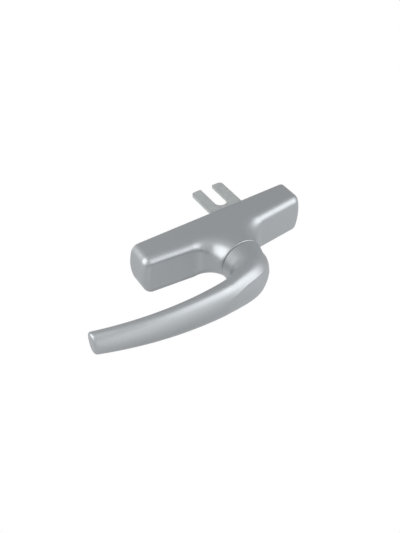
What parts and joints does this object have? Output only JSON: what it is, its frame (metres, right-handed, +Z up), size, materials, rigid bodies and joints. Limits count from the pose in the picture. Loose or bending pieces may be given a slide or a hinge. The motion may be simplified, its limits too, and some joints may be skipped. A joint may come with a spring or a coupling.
{
  "type": "window handle",
  "caption": "Surface-mounted window handle: a T-shaped die-cast body with a curved oval lever on a round neck that drives a forked plate out of its back.",
  "frame": {"origin": "point where the spindle axis crosses the plane of the back face, midway between the two fixing holes", "axes": "+Z up along the body's long axis, +Y into the window frame, the room side faces -Y, +X to the right seen from the room"},
  "size_m": [0.028, 0.0882, 0.1609],
  "materials": {
    "satin_silver": "satin silver coat",
    "zinc_plate": "matt zinc plated",
    "zinc_cast": "as cast",
    "dark_nylon": "matt",
    "pale_nylon": "matt",
    "spring_steel": "oiled spring steel",
    "steel_bar": "drawn steel",
    "screw_steel": "zinc plated"
  },
  "bodies": {
    "housing_body": {"housing": "satin_silver", "neck_bush": "dark_nylon", "cone_washer": "spring_steel", "detent_carrier": "pale_nylon", "detent_ball_1": "spring_steel", "detent_ball_2": "spring_steel", "detent_spring_1": "spring_steel", "detent_spring_2": "spring_steel", "base_plate": "zinc_plate", "base_screw_1": "screw_steel", "base_screw_2": "screw_steel", "base_screw_3": "screw_steel", "base_screw_4": "screw_steel"},
    "lever_body": {"lever": "satin_silver", "thrust_washer": "spring_steel", "circlip": "spring_steel", "spindle": "steel_bar", "spindle_pin": "steel_bar", "pinion": "zinc_cast", "index_disc": "zinc_cast"},
    "fork_body": {"rack_slider": "zinc_cast", "fork": "zinc_plate", "fork_rivet_1": "zinc_plate", "fork_rivet_2": "zinc_plate"}
  },
  "joints": [
    {"name": "lever_turn", "type": "hinge", "parent": "housing_body", "child": "lever_body", "pos_m": [0, 0, 0], "axis": [0, -1, 0], "range_deg": [0, 180]},
    {"name": "fork_slide", "type": "slide", "parent": "housing_body", "child": "fork_body", "axis": [0, 0, -1], "range_m": [0, 0.0283]}
  ],
  "couplings": [
    {"joint": "fork_slide", "follows": "lever_turn", "m_per_rad": 0.009}
  ]
}
